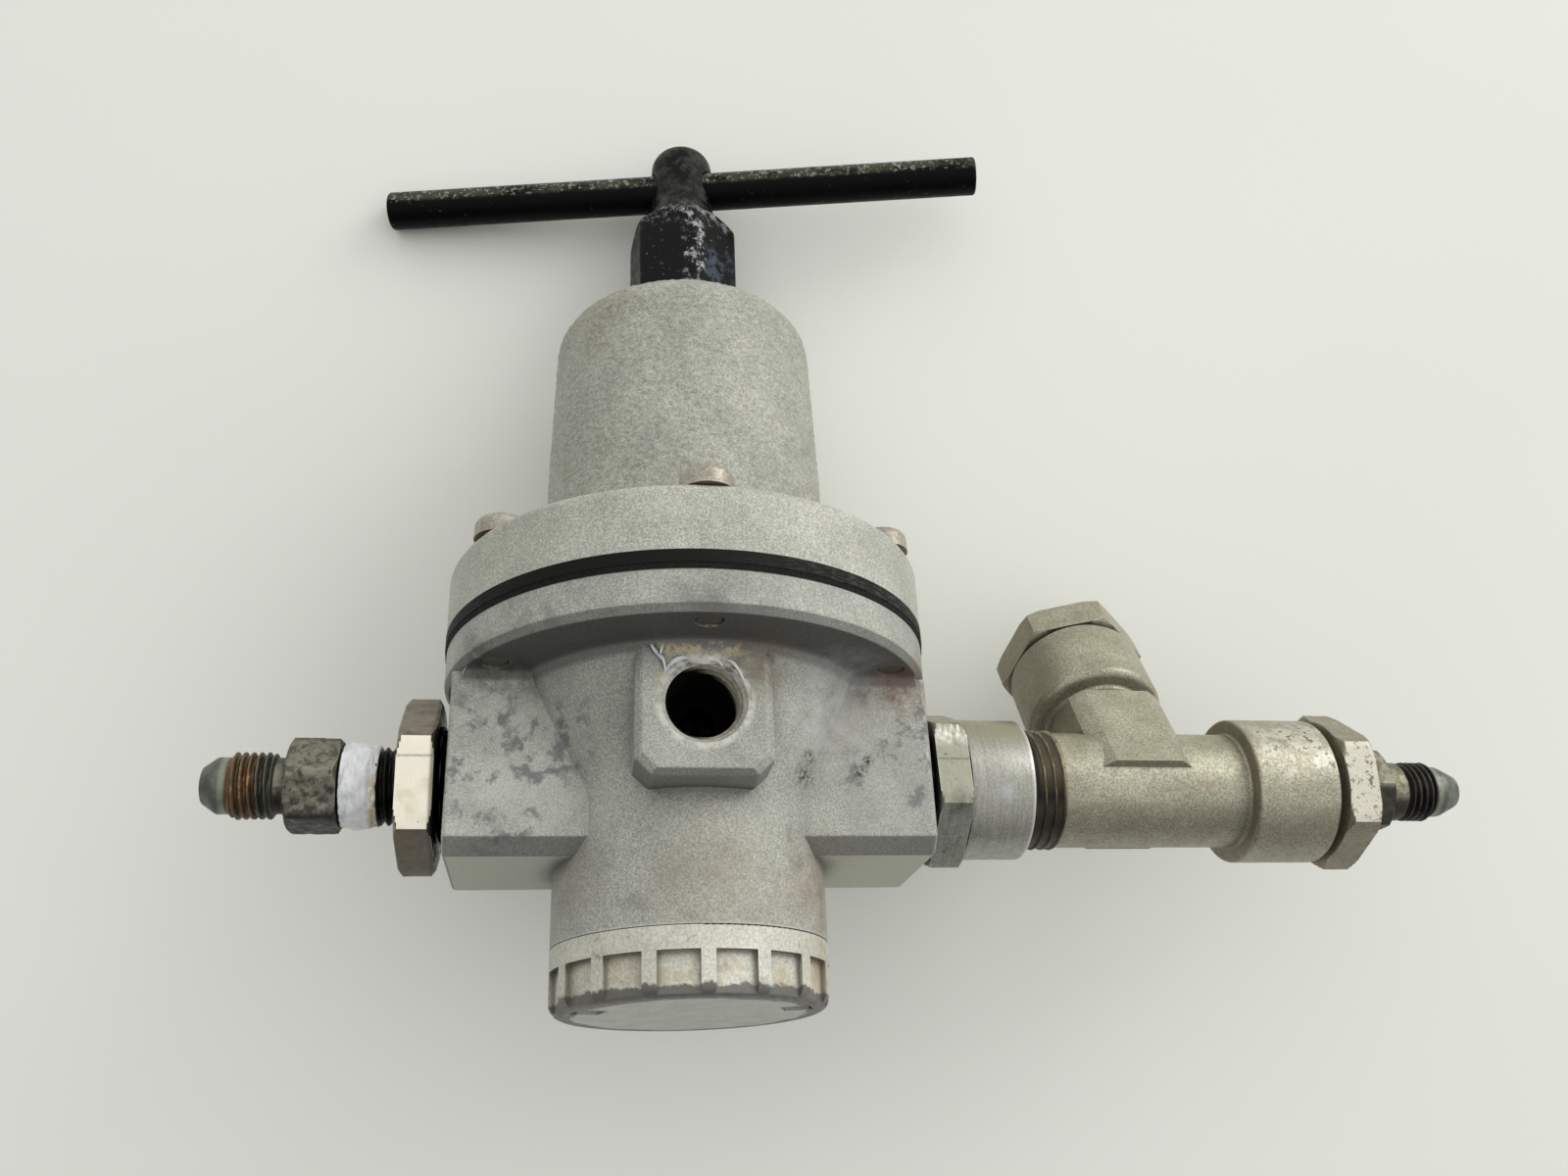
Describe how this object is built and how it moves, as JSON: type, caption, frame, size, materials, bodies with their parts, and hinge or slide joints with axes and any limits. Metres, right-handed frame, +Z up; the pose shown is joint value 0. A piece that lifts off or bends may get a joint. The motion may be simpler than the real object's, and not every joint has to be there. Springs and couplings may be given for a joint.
{
  "type": "air pressure regulator",
  "caption": "Cast air pressure regulator with a T-handle screw, bolted bonnet, castellated bottom cap, side gauge port and flare fittings on both ports.",
  "frame": {"origin": "centre of the bottom cap's flat underside, on the regulator's axis", "axes": "+Z up the regulator's axis to the T-handle, +X from the inlet to the outlet fittings along the port axis, -Y out of the open gauge port"},
  "size_m": [0.2274, 0.0858, 0.1812],
  "materials": {
    "cast_body": "fine sand-cast, satin",
    "cast_bonnet": "coarse cast, matte",
    "cap_metal": "painted-looking cast metal with worn dark edges",
    "cap_disc": "matte",
    "zinc_screw": "zinc plated",
    "black_rubber": "matte",
    "gasket_fibre": "matte fibre",
    "black_steel": "black oxide, chipped",
    "brass": "turned",
    "bright_nickel": "bright nickel plate over brass",
    "zinc_flare": "dull zinc with rust in the threads",
    "dark_flare": "dull zinc and black thread",
    "sealing_tape": "soft white tape",
    "turned_aluminium": "machined",
    "dull_nickel": "dull nickel plate over forged brass",
    "plain_steel": "machined",
    "spring_steel": "drawn wire"
  },
  "bodies": {
    "body": {"valve_body": "cast_body", "valve_seat": "brass", "seat_gasket": "gasket_fibre", "aspirator_tube": "brass", "diaphragm_gasket": "gasket_fibre", "diaphragm": "black_rubber", "bonnet": "cast_bonnet", "bonnet_insert": "plain_steel", "bonnet_screws": "zinc_screw", "bottom_cap": "cap_metal", "cap_disc": "cap_disc", "cap_o_ring": "black_rubber", "rear_gauge_plug": "plain_steel", "inlet_bushing": "bright_nickel", "inlet_flare_adapter": "zinc_flare", "inlet_tape": "sealing_tape", "outlet_adapter": "turned_aluminium", "street_tee": "dull_nickel", "tee_branch_plug": "dull_nickel", "outlet_bushing": "dull_nickel", "outlet_flare_adapter": "dark_flare", "range_spring": "spring_steel", "valve_spring": "spring_steel"},
    "spring_rest": {"spring_rest": "plain_steel"},
    "handle": {"adjusting_screw": "black_steel", "t_bar": "black_steel"},
    "diaphragm_plates": {"upper_diaphragm_plate": "plain_steel", "lower_diaphragm_plate": "plain_steel", "diaphragm_nut": "plain_steel"},
    "valve": {"valve_stem": "plain_steel", "valve_poppet": "brass", "poppet_o_ring": "black_rubber", "valve_disc": "black_rubber"}
  },
  "joints": [
    {"name": "screw_feed", "type": "slide", "parent": "body", "child": "spring_rest", "axis": [0, 0, 1], "range_m": [-0.009, 0.0015], "deforming": ["range_spring"]},
    {"name": "handle_turn", "type": "hinge", "parent": "spring_rest", "child": "handle", "pos_m": [0, 0, 0.1712], "axis": [0, 0, 1], "range_deg": [-2552, 426]},
    {"name": "diaphragm_travel", "type": "slide", "parent": "body", "child": "diaphragm_plates", "axis": [0, 0, 1], "range_m": [-0.0015, 0], "stiffness_N_per_m": 1500, "springref_m": 0.003, "deforming": ["diaphragm"]},
    {"name": "valve_travel", "type": "slide", "parent": "body", "child": "valve", "axis": [0, 0, 1], "range_m": [-0.0015, 0], "deforming": ["valve_spring"]}
  ],
  "couplings": [
    {"joint": "handle_turn", "follows": "screw_feed", "rad_per_m": 4947.4},
    {"joint": "valve_travel", "follows": "diaphragm_travel", "ratio": 1}
  ]
}
